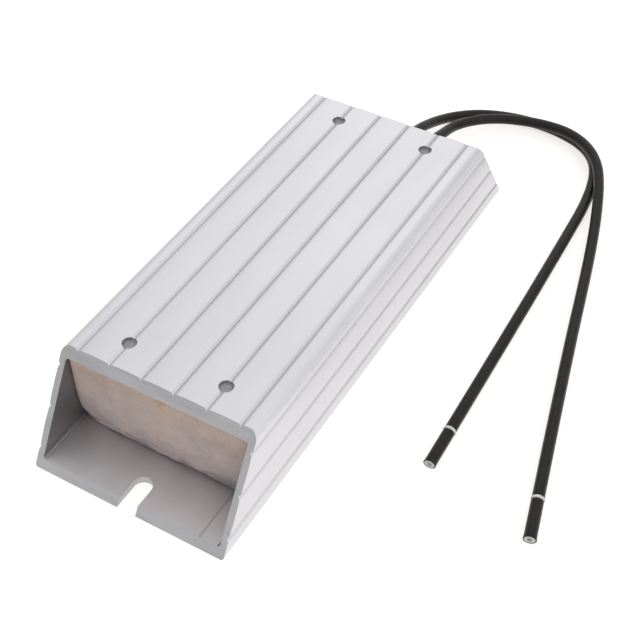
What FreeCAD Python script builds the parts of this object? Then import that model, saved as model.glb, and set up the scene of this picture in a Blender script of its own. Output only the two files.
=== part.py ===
import FreeCAD, Part
import math
import os

import Sketcher
from FreeCAD import Placement, Rotation, Vector

# Braking resistor: a grooved aluminium profile with slanted ends, potted with sand between
# two cement seals, around a pair of ribbon-wound mica formers. Two insulated leads come
# out of the rear seal and lie on the floor beside it.
# Frame: origin in the middle of the base face, X across, Y along the profile towards the
# leads, Z up. Sizes are in millimetres.

SIZES = {
    # extruded profile
    "base_length": 165.0,
    "body_width": 60.0,
    "body_height": 30.0,
    "side_wall": 2.0,
    "base_wall": 2.5,
    "top_wall": 3.0,
    "top_corner_radius": 2.5,
    "base_corner_radius": 0.8,
    "cavity_corner_radius": 0.8,
    "end_setback": 19.5,
    # V grooves along the top and the two flanks
    "top_groove_pitch": 10.0,
    "top_groove_count": 6,
    "flank_groove_pitch": 10.0,
    "flank_groove_count": 3,
    "flank_groove_low": 5.0,
    "groove_mouth": 1.7,
    "groove_throat": 0.6,
    "groove_bevel": 0.2,
    "groove_depth": 0.65,
    # screw slots in the base and round holes in the top wall
    "slot_width": 5.8,
    "slot_spacing": 150.0,
    "top_hole_diameter": 4.0,
    "top_hole_spacing_across": 30.0,
    "top_hole_spacing_along": 109.0,
    # cement seals, measured from the tips of the base
    "seal_setback": 18.0,
    "seal_depth": 12.0,
    # resistance element
    "element_height": 12.0,
    "sand_cover": 3.0,
    "mica_sheet_thickness": 0.8,
    "spacer_width": 2.1,
    "former_thickness": 2.0,
    "former_gap": 3.0,
    "former_front_setback": 6.5,
    "former_rear_setback": 14.5,
    "ribbon_thickness": 0.4,
    "ribbon_width": 2.4,
    "winding_turns": 14,
    "winding_margin": 5.0,
    "bridge_width": 3.0,
    "bridge_length": 11.0,
    # crimped terminals
    "tongue_width": 4.0,
    "barrel_length": 6.5,
    "barrel_gap": 0.5,
    # leads
    "lead_offset": 4.0,
    "jacket_diameter": 3.4,
    "insulation_diameter": 2.9,
    "conductor_diameter": 1.5,
    "jacket_embedment": 5.0,
    "end_sleeve_length": 12.4,
    "end_sleeve_gap": 0.9,
}

# The leads as they lie. Each point is the distance across from the centre plane, the
# distance along from the face of the rear seal, and the height of the underside above the
# floor. A route starts with a straight run out of the seal and ends where the jacket is
# cut round, just short of the tip.
EXIT_RUN = 14.5
LEFT_ROUTE = [
    (-2.9, 41.5, 0.7),
    (10.5, 52.9, 0.0),
    (31.0, 56.0, 0.0),
    (49.8, 48.5, 0.0),
    (57.2, 31.5, 0.0),
    (58.6, -2.5, 0.0),
    (59.9, -42.5, 0.0),
    (61.0, -82.4, 0.0),
]
RIGHT_ROUTE = [
    (3.4, 36.0, 4.5),
    (12.6, 47.3, 3.2),
    (27.0, 51.5, 3.4),
    (41.6, 51.1, 3.8),
    (53.3, 42.5, 4.0),
    (59.9, 28.5, 2.7),
    (66.8, 3.5, 0.0),
    (78.6, -44.5, 0.0),
    (90.6, -91.5, 0.0),
]
# An arc takes this share of the shorter of the two runs that it joins.
ARC_SHARE = 0.45
# Cutting shapes run past the metal by this much.
CUT_MARGIN = 5.0

doc = FreeCAD.newDocument("braking_resistor")
sheet = doc.addObject("Spreadsheet::Sheet", "sizes")
for row, (alias, value) in enumerate(SIZES.items(), start=1):
    sheet.set(f"A{row}", alias)
    sheet.set(f"B{row}", str(value))
    sheet.setAlias(f"B{row}", alias)
doc.recompute()

# Places that several pieces share, written in driving sizes
CAVITY_HALF = "body_width / 2 - side_wall"
CAVITY_TOP = "body_height - top_wall"
SEAL_FACE = "base_length / 2 - seal_setback"
FILL_END = "base_length / 2 - seal_setback - seal_depth"
CHANNEL_HALF = f"{CAVITY_HALF} - sand_cover"
CHANNEL_HALF_HEIGHT = "former_thickness / 2 + ribbon_thickness + mica_sheet_thickness"
FORMER_REAR = f"{FILL_END} - former_rear_setback"
FORMER_FRONT = f"former_front_setback - ( {FILL_END} )"
FORMER_LENGTH = f"{FORMER_REAR} - ( {FORMER_FRONT} )"
WINDING_FRONT = f"{FORMER_FRONT} + winding_margin"
WINDING_REAR = f"{FORMER_REAR} - winding_margin"
WINDING_OUTSIDE = f"{CHANNEL_HALF} - spacer_width"
FORMER_OUTSIDE = f"{WINDING_OUTSIDE} - ribbon_thickness"
FORMER_WIDTH = f"{FORMER_OUTSIDE} - former_gap / 2"
BARREL_FRONT = f"{FORMER_REAR} + barrel_gap"
BARREL_RADIUS = "former_thickness / 2 + ribbon_thickness"


def cell(expression):
    """The expression with each driving size turned into its cell."""
    words = expression.replace("(", " ( ").replace(")", " ) ").split()
    return " ".join(f"sizes.{word}" if word in SIZES else word for word in words)


def size(expression):
    """The present value of an expression in driving sizes."""
    return float(sheet.evalExpression(cell(expression)))


# Sketches and features

def new_body(label):
    body = doc.addObject("PartDesign::Body", label)
    body.Label = label
    return body


def origin_item(body, role):
    return next(item for item in body.Origin.OriginFeatures if item.Role == role)


def new_sketch(body, name, role, offset="0"):
    """A sketch on one of the body's origin planes, moved along the plane's normal."""
    sketch = body.newObject("Sketcher::SketchObject", name)
    sketch.AttachmentSupport = [(origin_item(body, role), "")]
    sketch.MapMode = "FlatFace"
    sketch.setExpression(".AttachmentOffset.Base.z", cell(offset))
    return sketch


def hold_point(sketch, edge, end, name, across, up):
    """Ties one point of a sketch to the origin by a distance across and a distance up."""
    for kind, expression, axis in (("DistanceX", across, -2), ("DistanceY", up, -1)):
        distance = size(expression)
        if distance:
            number = sketch.addConstraint(Sketcher.Constraint(kind, -1, 1, edge, end, distance))
            label = f"{name}_{kind}"
            sketch.renameConstraint(number, label)
            sketch.setExpression(f"Constraints.{label}", cell(expression))
        else:
            sketch.addConstraint(Sketcher.Constraint("PointOnObject", edge, end, axis))


def add_outline(sketch, name, corners):
    """A closed outline of straight edges whose corners are pairs of expressions."""
    points = [Vector(size(across), size(up), 0) for across, up in corners]
    first = sketch.GeometryCount
    for start, end in zip(points, points[1:] + points[:1]):
        sketch.addGeometry(Part.LineSegment(start, end), False)
    for index, (across, up) in enumerate(corners):
        edge = first + index
        before = first + (index - 1) % len(corners)
        sketch.addConstraint(Sketcher.Constraint("Coincident", before, 2, edge, 1))
        hold_point(sketch, edge, 1, f"{name}{index}", across, up)


def add_rectangle(sketch, name, half_width, low, high):
    """An upright rectangle, centred across."""
    left = f"0 - ( {half_width} )"
    add_outline(sketch, name, [(left, low), (half_width, low), (half_width, high), (left, high)])


def add_circle(sketch, name, across, up, diameter):
    centre = Vector(size(across), size(up), 0)
    circle = Part.Circle(centre, Vector(0, 0, 1), size(diameter) / 2)
    edge = sketch.addGeometry(circle, False)
    hold_point(sketch, edge, 3, name, across, up)
    number = sketch.addConstraint(Sketcher.Constraint("Diameter", edge, size(diameter)))
    sketch.renameConstraint(number, f"{name}_diameter")
    sketch.setExpression(f"Constraints.{name}_diameter", cell(diameter))


def pad(body, sketch, name, length, both_ways=False):
    feature = body.newObject("PartDesign::Pad", name)
    feature.Profile = sketch
    feature.SideType = "Symmetric" if both_ways else "One side"
    feature.setExpression("Length", cell(length))
    doc.recompute()
    return feature


def pocket(body, sketch, name, depth=None, turned=False):
    """A cut of the given depth, or right through both ways where no depth is given."""
    before = body.Shape.Volume
    feature = body.newObject("PartDesign::Pocket", name)
    feature.Profile = sketch
    if depth is None:
        feature.Type = "ThroughAll"
        feature.SideType = "Symmetric"
    else:
        feature.Type = "Length"
        feature.Reversed = turned
        feature.setExpression("Length", cell(depth))
    doc.recompute()
    if body.Shape.Volume >= before:
        raise RuntimeError(f"{name} cuts nothing")
    return feature


def pattern(body, feature, name, role, pitch, count):
    """Copies of a feature in a row along one of the body's axes."""
    row_of = body.newObject("PartDesign::LinearPattern", name)
    row_of.Originals = [feature]
    row_of.Direction = (origin_item(body, role), [""])
    row_of.setExpression("Length", cell(f"( {count} - 1 ) * {pitch}"))
    row_of.setExpression("Occurrences", cell(count))
    body.Tip = row_of
    doc.recompute()


def mirror(body, feature, name, role):
    """A copy of a feature on the other side of one of the body's planes."""
    copy = body.newObject("PartDesign::Mirrored", name)
    copy.Originals = [feature]
    copy.MirrorPlane = (origin_item(body, role), [""])
    body.Tip = copy
    doc.recompute()


def round_long_edges(body, name, places, radius):
    """Rounds the edges that run lengthways through the given places across the section."""
    solid = body.Tip
    wanted = [(size(across), size(up)) for across, up in places]
    names = []
    for number, edge in enumerate(solid.Shape.Edges, start=1):
        start, end = edge.firstVertex().Point, edge.lastVertex().Point
        runs_lengthways = math.hypot(start.x - end.x, start.z - end.z) < 1e-6
        at_place = any(math.hypot(start.x - x, start.z - z) < 1e-6 for x, z in wanted)
        if runs_lengthways and at_place:
            names.append(f"Edge{number}")
    feature = body.newObject("PartDesign::Fillet", name)
    feature.Base = (solid, names)
    feature.setExpression("Radius", cell(radius))
    doc.recompute()


def corners_of(half_width, *heights):
    """Places at both sides of a section, at each of the given heights."""
    return [(side, height) for height in heights for side in (half_width, f"0 - ( {half_width} )")]


def new_box(label, low, extent):
    """A box from its lowest corner and its three lengths, all written in driving sizes."""
    box = doc.addObject("Part::Box", label)
    box.Label = label
    for axis, expression in zip("xyz", low):
        box.setExpression(f"Placement.Base.{axis}", cell(expression))
    for edge, expression in zip(("Length", "Width", "Height"), extent):
        box.setExpression(edge, cell(expression))
    return box


def add_shape(label, shape):
    piece = doc.addObject("Part::Feature", label)
    piece.Label = label
    piece.Shape = shape
    return piece


# The extruded profile

def make_housing():
    body = new_body("housing")
    section = new_sketch(body, "housing_section", "XZ_Plane")
    add_rectangle(section, "outer", "body_width / 2", "0", "body_height")
    add_rectangle(section, "inner", CAVITY_HALF, "base_wall", CAVITY_TOP)
    pad(body, section, "extrusion", "base_length", both_ways=True)
    half_width = "body_width / 2"
    round_long_edges(body, "top_corners", corners_of(half_width, "body_height"), "top_corner_radius")
    round_long_edges(body, "base_corners", corners_of(half_width, "0"), "base_corner_radius")
    inner_corners = corners_of(CAVITY_HALF, "base_wall", CAVITY_TOP)
    round_long_edges(body, "cavity_corners", inner_corners, "cavity_corner_radius")
    cut_top_grooves(body)
    cut_flank_grooves(body)
    cut_slanted_ends(body)
    cut_base_slots(body)
    cut_top_holes(body)
    return body


def groove_corners(centre, surface, inward):
    """Half widths and depths of a V groove with a bevelled mouth, about a centre."""
    steps = [
        ("groove_mouth / 2", "0"),
        ("groove_throat / 2", "groove_bevel"),
        ("0", "groove_depth"),
        ("0 - groove_throat / 2", "groove_bevel"),
        ("0 - groove_mouth / 2", "0"),
    ]
    return [(f"{centre} + {aside}", f"{surface} {inward} {deep}") for aside, deep in steps]


def cut_top_grooves(body):
    first = "0 - ( top_groove_count - 1 ) * top_groove_pitch / 2"
    sketch = new_sketch(body, "top_groove_section", "XZ_Plane")
    add_outline(sketch, "groove", groove_corners(first, "body_height", "-"))
    groove = pocket(body, sketch, "top_groove")
    pattern(body, groove, "top_grooves", "X_Axis", "top_groove_pitch", "top_groove_count")


def cut_flank_grooves(body):
    sketch = new_sketch(body, "flank_groove_section", "XZ_Plane")
    for side, flank, inward in (("right", "body_width / 2", "-"), ("left", "0 - body_width / 2", "+")):
        corners = groove_corners("flank_groove_low", flank, inward)
        add_outline(sketch, side, [(depth, height) for height, depth in corners])
    grooves = pocket(body, sketch, "flank_groove")
    pattern(body, grooves, "flank_grooves", "Z_Axis", "flank_groove_pitch", "flank_groove_count")


def cut_slanted_ends(body):
    """Saws both ends on a slant, so that the base stands out beyond the top."""
    slant = "end_setback / body_height"
    below = f"0 - {CUT_MARGIN}"
    above = f"body_height + {CUT_MARGIN}"
    beyond = f"base_length / 2 + {CUT_MARGIN} * ( 1 + {slant} )"
    sketch = new_sketch(body, "end_cut_section", "YZ_Plane")
    corners = [
        (f"base_length / 2 + {CUT_MARGIN} * {slant}", below),
        (beyond, below),
        (beyond, above),
        (f"base_length / 2 - end_setback - {CUT_MARGIN} * {slant}", above),
    ]
    add_outline(sketch, "cut", corners)
    cut = pocket(body, sketch, "rear_end_cut")
    mirror(body, cut, "front_end_cut", "XZ_Plane")


def cut_base_slots(body):
    """Open slots in the base, half round at their inner end."""
    sketch = new_sketch(body, "slot_outline", "XY_Plane")
    radius = size("slot_width / 2")
    centre = Vector(0, size("slot_spacing / 2"), 0)
    mouth = size(f"base_length / 2 + {CUT_MARGIN}")
    inner_end = Part.ArcOfCircle(Part.Circle(centre, Vector(0, 0, 1), radius), math.pi, 2 * math.pi)
    sketch.addGeometry(inner_end, False)
    sketch.addGeometry(Part.LineSegment(Vector(radius, centre.y, 0), Vector(radius, mouth, 0)), False)
    sketch.addGeometry(Part.LineSegment(Vector(radius, mouth, 0), Vector(-radius, mouth, 0)), False)
    sketch.addGeometry(Part.LineSegment(Vector(-radius, mouth, 0), Vector(-radius, centre.y, 0)), False)
    arc, right, across, left = range(4)
    sketch.addConstraint(Sketcher.Constraint("Tangent", arc, 2, right, 1))
    sketch.addConstraint(Sketcher.Constraint("Coincident", right, 2, across, 1))
    sketch.addConstraint(Sketcher.Constraint("Coincident", across, 2, left, 1))
    sketch.addConstraint(Sketcher.Constraint("Tangent", left, 2, arc, 1))
    sketch.addConstraint(Sketcher.Constraint("Horizontal", across))
    sketch.addConstraint(Sketcher.Constraint("Vertical", right))
    hold_point(sketch, arc, 3, "centre", "0", "slot_spacing / 2")
    width = sketch.addConstraint(Sketcher.Constraint("Radius", arc, radius))
    sketch.renameConstraint(width, "half_width")
    sketch.setExpression("Constraints.half_width", cell("slot_width / 2"))
    reach = sketch.addConstraint(Sketcher.Constraint("DistanceY", -1, 1, right, 2, mouth))
    sketch.renameConstraint(reach, "mouth")
    sketch.setExpression("Constraints.mouth", cell(f"base_length / 2 + {CUT_MARGIN}"))
    slot = pocket(body, sketch, "rear_slot", f"base_wall + {CUT_MARGIN}", turned=True)
    mirror(body, slot, "front_slot", "XZ_Plane")


def cut_top_holes(body):
    sketch = new_sketch(body, "top_hole_centres", "XY_Plane", "body_height")
    number = 0
    for across in ("top_hole_spacing_across / 2", "0 - top_hole_spacing_across / 2"):
        for along in ("top_hole_spacing_along / 2", "0 - top_hole_spacing_along / 2"):
            add_circle(sketch, f"hole{number}", across, along, "top_hole_diameter")
            number += 1
    pocket(body, sketch, "top_holes", f"top_wall + {CUT_MARGIN}")


# What fills the profile

def make_seal(label, offset):
    """A cement seal cast against the cavity walls. Its plane's normal points along -Y."""
    body = new_body(label)
    section = new_sketch(body, f"{label}_section", "XZ_Plane", offset)
    add_rectangle(section, "cavity", CAVITY_HALF, "base_wall", CAVITY_TOP)
    pad(body, section, f"{label}_casting", "seal_depth")
    cavity_corners = corners_of(CAVITY_HALF, "base_wall", CAVITY_TOP)
    round_long_edges(body, f"{label}_corners", cavity_corners, "cavity_corner_radius")
    return body


def make_rear_seal():
    """The rear seal has a stepped passage for each lead."""
    face = f"0 - ( {SEAL_FACE} )"
    body = make_seal("rear_seal", face)
    sides = (("left", "0 - lead_offset"), ("right", "lead_offset"))
    wires = new_sketch(body, "wire_passages_section", "XZ_Plane", face)
    jackets = new_sketch(body, "jacket_seats_section", "XZ_Plane", face)
    for side, across in sides:
        add_circle(wires, side, across, "element_height", "insulation_diameter")
        add_circle(jackets, side, across, "element_height", "jacket_diameter")
    pocket(body, wires, "wire_passages")
    pocket(body, jackets, "jacket_seats", "jacket_embedment", turned=True)
    return body


def make_sand_filling():
    """The tamped filling, with a flat channel that holds the resistance element."""
    body = new_body("sand_filling")
    section = new_sketch(body, "filling_section", "XZ_Plane")
    add_rectangle(section, "cavity", CAVITY_HALF, "base_wall", CAVITY_TOP)
    low = f"element_height - ( {CHANNEL_HALF_HEIGHT} )"
    high = f"element_height + {CHANNEL_HALF_HEIGHT}"
    add_rectangle(section, "channel", CHANNEL_HALF, low, high)
    pad(body, section, "filling", f"2 * ( {FILL_END} )", both_ways=True)
    cavity_corners = corners_of(CAVITY_HALF, "base_wall", CAVITY_TOP)
    round_long_edges(body, "filling_corners", cavity_corners, "cavity_corner_radius")
    return body


# The resistance element

def make_mica_sheet(label, low):
    """An insulating sheet that lines one side of the channel."""
    corner = (f"0 - ( {CHANNEL_HALF} )", f"0 - ( {FILL_END} )", low)
    extent = (f"2 * ( {CHANNEL_HALF} )", f"2 * ( {FILL_END} )", "mica_sheet_thickness")
    return new_box(label, corner, extent)


def make_side_spacer(label, left_side):
    """A mica strip that holds the sheets apart beside a winding and keeps the sand out."""
    corner = (left_side, f"0 - ( {FILL_END} )", f"element_height - ( {BARREL_RADIUS} )")
    return new_box(label, corner, ("spacer_width", f"2 * ( {FILL_END} )", f"2 * ( {BARREL_RADIUS} )"))


def make_centre_spacer():
    """A mica strip between the two windings. The bridge strip passes over it."""
    corner = (
        "ribbon_thickness - former_gap / 2",
        FORMER_FRONT,
        "element_height - former_thickness / 2 - ribbon_thickness",
    )
    extent = (
        "former_gap - 2 * ribbon_thickness",
        FORMER_LENGTH,
        "former_thickness + ribbon_thickness",
    )
    return new_box("centre_spacer_strip", corner, extent)


def make_former(label, left_side):
    """A mica board that carries one winding."""
    corner = (left_side, FORMER_FRONT, "element_height - former_thickness / 2")
    return new_box(label, corner, (FORMER_WIDTH, FORMER_LENGTH, "former_thickness"))


def upright_prism(corners, low, high):
    """A plate with the given outline in plan, from low to high."""
    points = [Vector(x, y, low) for x, y in corners]
    return Part.Face(Part.makePolygon(points + points[:1])).extrude(Vector(0, 0, high - low))


def make_winding(label, side):
    """Resistance ribbon wound flat round one former: straight across the top, slanted below."""
    inner = size("former_gap / 2")
    outer = size(FORMER_OUTSIDE)
    thick = size("ribbon_thickness")
    wide = size("ribbon_width")
    top = size("element_height + former_thickness / 2")
    bottom = size("element_height - former_thickness / 2")
    front = size(WINDING_FRONT)
    turns = round(size("winding_turns"))
    pitch = (size(WINDING_REAR) - wide - front) / turns

    def strip(inner_start, outer_start, low, high):
        corners = [
            (side * (inner - thick), inner_start),
            (side * (outer + thick), outer_start),
            (side * (outer + thick), outer_start + wide),
            (side * (inner - thick), inner_start + wide),
        ]
        return upright_prism(corners, low, high)

    def edge(across, start):
        corner = Vector(min(side * across, side * (across + thick)), start, bottom)
        return Part.makeBox(thick, wide, top - bottom, corner)

    pieces = [strip(front + turn * pitch, front + turn * pitch, top, top + thick)
              for turn in range(turns + 1)]
    for turn in range(turns):
        start = front + turn * pitch
        pieces.append(edge(outer, start))
        pieces.append(strip(start + pitch, start, bottom - thick, bottom))
        pieces.append(edge(inner - thick, start + pitch))
    return add_shape(label, pieces[0].multiFuse(pieces[1:]).removeSplitter())


def make_bridge_strip():
    """Joins the front ends of the two windings across the gap between the formers."""
    corner = (
        "0 - bridge_length / 2",
        f"{WINDING_FRONT} - bridge_width",
        "element_height + former_thickness / 2",
    )
    return new_box("bridge_strip", corner, ("bridge_length", "bridge_width", "ribbon_thickness"))


def make_terminal(label, across):
    """A crimp terminal: a tongue on the last turn of a winding and a barrel round the wire."""
    corner = (
        f"{across} - tongue_width / 2",
        WINDING_REAR,
        "element_height + former_thickness / 2",
    )
    reach = "barrel_length + barrel_gap + winding_margin"
    tongue = new_box(f"{label}_tongue", corner, ("tongue_width", reach, "ribbon_thickness"))
    sleeves = []
    for name, radius in (("barrel", BARREL_RADIUS), ("bore", "conductor_diameter / 2")):
        sleeve = doc.addObject("Part::Cylinder", f"{label}_{name}")
        sleeve.setExpression("Radius", cell(radius))
        sleeve.setExpression("Height", cell("barrel_length"))
        sleeve.Placement = Placement(Vector(), Rotation(Vector(1, 0, 0), -90))
        for axis, expression in zip("xyz", (across, BARREL_FRONT, "element_height")):
            sleeve.setExpression(f"Placement.Base.{axis}", cell(expression))
        sleeves.append(sleeve)
    solid = doc.addObject("Part::Fuse", f"{label}_solid")
    solid.Base = sleeves[0]
    solid.Tool = tongue
    terminal = doc.addObject("Part::Cut", label)
    terminal.Label = label
    terminal.Base = solid
    terminal.Tool = sleeves[1]
    return terminal


# The leads

def lead_points(across, route):
    """The corners of a lead's centreline, from the face of the rear seal to the round cut."""
    face = size(SEAL_FACE)
    rest = size("jacket_diameter / 2")
    height = size("element_height")
    start = [Vector(across, face, height), Vector(across, face + EXIT_RUN, height)]
    return start + [Vector(x, face + along, rest + lift) for x, along, lift in route]


def lead_path(points):
    """Straight runs joined by tangent arcs."""
    here = points[0]
    edges = []
    radii = []
    for before, corner, after in zip(points, points[1:], points[2:]):
        back = before - corner
        ahead = after - corner
        half_turn = (math.pi - back.getAngle(ahead)) / 2
        share = ARC_SHARE * min(back.Length, ahead.Length)
        radius = share / math.tan(half_turn)
        back.normalize()
        ahead.normalize()
        bisector = (back + ahead).normalize()
        arc_start = corner + back * share
        arc_end = corner + ahead * share
        middle = corner + bisector * (math.hypot(radius, share) - radius)
        edges.append(Part.LineSegment(here, arc_start).toShape())
        edges.append(Part.Arc(arc_start, middle, arc_end).toShape())
        radii.append(radius)
        here = arc_end
    edges.append(Part.LineSegment(here, points[-1]).toShape())
    return Part.Wire(edges), radii


def rod(start, heading, length, diameter):
    return Part.makeCylinder(diameter / 2, length, start, heading)


def make_lead(side, across, route):
    """One insulated lead as a closed solid of its outer shape: the bare wire in the
    terminal, the inner insulation in the seal, the jacket along the route, and the inner
    insulation again from the round cut to the tip."""
    jacket = size("jacket_diameter")
    insulation = size("insulation_diameter")
    points = lead_points(across, route)
    path, radii = lead_path(points)
    along = Vector(0, 1, 0)
    covered = path.makePipe(Part.Face(Part.Wire(Part.makeCircle(jacket / 2, points[0], along))))
    swept = math.pi / 4 * jacket * jacket * path.Length
    print(f"{side} lead radii:", ", ".join(f"{radius:.0f}" for radius in radii))
    print(f"{side} lead: {path.Length:.1f} mm from the seal to the round cut,",
          f"volume {covered.Volume / swept:.4f} of section times length")

    wire_start = Vector(across, size(BARREL_FRONT), points[0].z)
    strip_start = Vector(across, size(FILL_END), points[0].z)
    seat_start = Vector(across, size(f"{SEAL_FACE} - jacket_embedment"), points[0].z)
    wire = rod(wire_start, along, strip_start.y - wire_start.y, size("conductor_diameter"))
    passage = rod(strip_start, along, seat_start.y - strip_start.y, insulation)
    seat = rod(seat_start, along, points[0].y - seat_start.y, jacket)
    onward = (points[-1] - points[-2]).normalize()
    tip = rod(points[-1], onward, size("end_sleeve_gap + end_sleeve_length"), insulation)
    return add_shape(f"{side}_lead", covered.multiFuse([wire, passage, seat, tip]).removeSplitter())


def make_end_sleeve(side, across, route):
    """A short length of the jacket, cut round but not pulled off, that stays on the tip."""
    points = lead_points(across, route)
    onward = (points[-1] - points[-2]).normalize()
    start = points[-1] + onward * size("end_sleeve_gap")
    length = size("end_sleeve_length")
    outside = rod(start, onward, length, size("jacket_diameter"))
    inside = rod(start, onward, length, size("insulation_diameter"))
    return add_shape(f"{side}_lead_end_sleeve", outside.cut(inside))


pieces = [
    make_housing(),
    make_seal("front_seal", FILL_END),
    make_rear_seal(),
    make_sand_filling(),
    make_mica_sheet("upper_mica_sheet", "element_height + former_thickness / 2 + ribbon_thickness"),
    make_mica_sheet("lower_mica_sheet", f"element_height - ( {CHANNEL_HALF_HEIGHT} )"),
    make_side_spacer("left_spacer_strip", f"0 - ( {CHANNEL_HALF} )"),
    make_side_spacer("right_spacer_strip", WINDING_OUTSIDE),
    make_centre_spacer(),
    make_former("left_former", f"0 - ( {FORMER_OUTSIDE} )"),
    make_former("right_former", "former_gap / 2"),
    make_winding("left_winding", -1),
    make_winding("right_winding", 1),
    make_bridge_strip(),
    make_terminal("left_terminal", "0 - lead_offset"),
    make_terminal("right_terminal", "lead_offset"),
    make_lead("left", -size("lead_offset"), LEFT_ROUTE),
    make_lead("right", size("lead_offset"), RIGHT_ROUTE),
    make_end_sleeve("left", -size("lead_offset"), LEFT_ROUTE),
    make_end_sleeve("right", size("lead_offset"), RIGHT_ROUTE),
]
doc.recompute()

for item in doc.Objects:
    if "Invalid" in item.State or "Error" in item.State:
        raise RuntimeError(f"{item.Label} failed: {item.State}")

os.makedirs("parts", exist_ok=True)
for piece in pieces:
    if piece.Shape.isNull() or not piece.Shape.isValid():
        raise RuntimeError(f"{piece.Label} has no valid shape")
    piece.Shape.exportStep(f"parts/{piece.Label}.step")
print(f"{len(pieces)} pieces written")
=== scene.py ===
# %% [markdown]
# A braking resistor
#
# A braking resistor turns the energy of a motor that is slowed down into heat. This one is
# a grooved aluminium profile with slanted ends. It is filled with sand, closed with cement,
# and two insulated leads come out of its rear end.
#
# The construction model gives every piece its place and its size. This script gives the
# pieces their looks: soft edges, metal, cement, rubber, and light. All lengths are metres.

# %% Load the frame
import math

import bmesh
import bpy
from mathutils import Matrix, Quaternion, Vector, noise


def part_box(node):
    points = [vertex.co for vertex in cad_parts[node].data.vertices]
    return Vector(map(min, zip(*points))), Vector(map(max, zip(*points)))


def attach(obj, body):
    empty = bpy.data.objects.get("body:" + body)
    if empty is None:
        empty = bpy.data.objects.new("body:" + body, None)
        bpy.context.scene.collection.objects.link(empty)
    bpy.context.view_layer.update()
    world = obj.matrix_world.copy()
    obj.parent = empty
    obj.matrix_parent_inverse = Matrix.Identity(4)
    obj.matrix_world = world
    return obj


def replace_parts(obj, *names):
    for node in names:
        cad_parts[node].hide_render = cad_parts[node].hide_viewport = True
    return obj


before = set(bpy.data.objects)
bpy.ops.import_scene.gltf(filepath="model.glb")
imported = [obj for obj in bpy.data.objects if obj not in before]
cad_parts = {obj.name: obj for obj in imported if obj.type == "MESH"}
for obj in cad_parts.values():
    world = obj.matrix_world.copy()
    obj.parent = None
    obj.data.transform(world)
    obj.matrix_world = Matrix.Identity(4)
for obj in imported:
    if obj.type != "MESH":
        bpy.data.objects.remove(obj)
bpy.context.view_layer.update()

# %% [markdown]
# Small tools
#
# A piece is drawn as a bmesh, which is Blender's mesh while it is being edited, and ends as
# an object in the scene. Three distances say when two points count as the same, from the
# coarsest to the finest.

MM = 0.001
NEAR = 1e-6
TOUCHING = 1e-7
SAME = 1e-8


def in_mm(lengths):
    """Lengths in millimetres, rounded for printing."""
    return [round(length / MM, 1) for length in lengths]


def mesh_of(name, shape):
    """Turns a bmesh into a mesh and frees it."""
    mesh = bpy.data.meshes.new(name)
    shape.to_mesh(mesh)
    shape.free()
    return mesh


def put_in_scene(name, data):
    made = bpy.data.objects.new(name, data)
    bpy.context.scene.collection.objects.link(made)
    return made


# %% [markdown]
# The camera
#
# The camera was worked out from the edges of the housing in the photograph: where it
# stands, where it looks, how it is rolled, and how long its lens is. A lens is named in
# millimetres for a sensor of a given width, so a focal length in pixels becomes one by the
# ratio of sensor width to image width.

# %% Place the camera
IMAGE_WIDTH = 640
FOCAL_PIXELS = 1223.44
SENSOR_WIDTH = 36.0
CAMERA_PLACE = Vector((0.13940, -0.21430, 0.25990))
CAMERA_TARGET = Vector((0.01617, -0.01072, 0.01500))
CAMERA_ROLL = math.radians(-1.13)
NEAREST_SEEN = 0.01


def make_camera():
    camera = put_in_scene("camera", bpy.data.cameras.new("camera"))
    camera.data.sensor_width = SENSOR_WIDTH
    camera.data.lens = SENSOR_WIDTH * FOCAL_PIXELS / IMAGE_WIDTH
    camera.data.clip_start = NEAREST_SEEN
    camera.location = CAMERA_PLACE
    aim = (CAMERA_TARGET - CAMERA_PLACE).to_track_quat("-Z", "Y")
    camera.rotation_mode = "QUATERNION"
    camera.rotation_quaternion = aim @ Quaternion((0, 0, 1), CAMERA_ROLL)
    bpy.context.scene.camera = camera
    return camera


camera = make_camera()
print(f"camera: lens {camera.data.lens:.1f} mm, {CAMERA_PLACE.length / MM:.0f} mm from the origin")

# %% [markdown]
# The two leads
#
# Each lead is a soft insulated wire that leaves the rear cement, sinks to the table and
# comes round beside the housing. A curve is the right tool: a NURBS spline bends smoothly
# between a few points, and its bevel gives it a round section. The points are those of the
# construction model's route, with one more on the right lead and a few moved by about a
# millimetre to match the photograph. Each is written as distance across, distance along
# from the face of the rear cement, and height of the underside above the table.
#
# The order of a spline is set after its points are there. Set earlier, it falls back to
# straight runs.

# %% Lay the leads
JACKET = 0.0034
LEAD_SPREAD = 0.0040
LEAD_HEIGHT = 0.0120
EXIT_RUN = 0.0145
SEATED = 0.0050
LEFT_ROUTE = [
    (-0.0029, 0.0415, 0.0007),
    (0.0105, 0.0529, 0.0),
    (0.0310, 0.0560, 0.0),
    (0.0500, 0.0497, 0.0),
    (0.0572, 0.0315, 0.0),
    (0.0586, -0.0025, 0.0),
    (0.0599, -0.0425, 0.0),
    (0.0610, -0.0824, 0.0),
]
RIGHT_ROUTE = [
    (0.0046, 0.0225, 0.0077),
    (0.0049, 0.0357, 0.0044),
    (0.0128, 0.0468, 0.0028),
    (0.0270, 0.0513, 0.0033),
    (0.0416, 0.0511, 0.0038),
    (0.0533, 0.0425, 0.0040),
    (0.0599, 0.0285, 0.0027),
    (0.0674, 0.0037, 0.0),
    (0.0786, -0.0445, 0.0),
    (0.0905, -0.0915, 0.0),
]
seal_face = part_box("rear_seal")[1].y


def lead_points(across, route):
    """The points of a lead, from its seat in the cement to the cut round its jacket."""
    seat = Vector((across, seal_face - SEATED, LEAD_HEIGHT))
    bend = Vector((across, seal_face + EXIT_RUN, LEAD_HEIGHT))
    return [seat, bend] + [Vector((x, seal_face + y, JACKET / 2 + z)) for x, y, z in route]


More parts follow.
